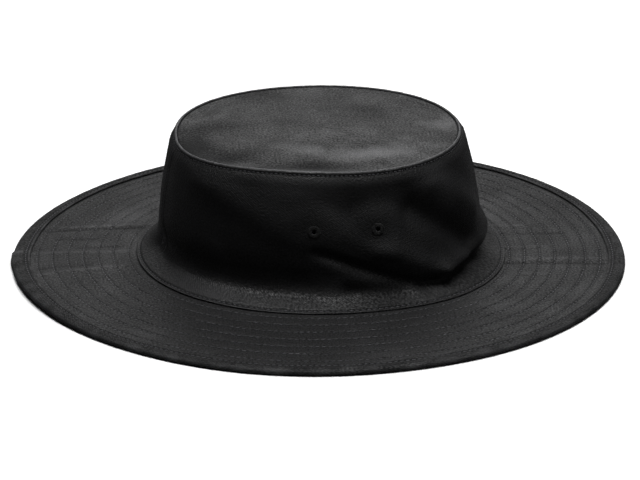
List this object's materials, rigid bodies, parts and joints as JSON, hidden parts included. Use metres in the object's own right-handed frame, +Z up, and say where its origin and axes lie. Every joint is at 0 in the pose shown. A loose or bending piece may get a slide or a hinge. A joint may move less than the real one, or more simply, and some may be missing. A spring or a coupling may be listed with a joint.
{
  "type": "cricket hat",
  "caption": "Wide-brim cloth sun hat with a flat oval brim bound at its edge and a low tapered crown with stitched eyelets.",
  "frame": {"origin": "on the surface that the hat lies on, below the middle of the brim", "axes": "+X to the hat's front, +Y to the wearer's left, +Z up through the crown"},
  "size_m": [0.344, 0.3072, 0.079],
  "materials": {
    "crown_drill": "black cotton drill, matt twill weave",
    "brim_drill": "black cotton drill, two layers with rounds of stitching",
    "binding_tape": "black cotton tape, folded over and stitched",
    "thread": "black polyester sewing thread, in the stitching and worked round the eyelets"
  },
  "bodies": {
    "root": {"crown_tip": "crown_drill", "side_panel_right": "crown_drill", "side_panel_left": "crown_drill", "brim": "brim_drill", "brim_binding": "binding_tape", "eyelet_right_rear": "thread", "eyelet_right_front": "thread", "eyelet_left_rear": "thread", "eyelet_left_front": "thread"}
  },
  "joints": []
}
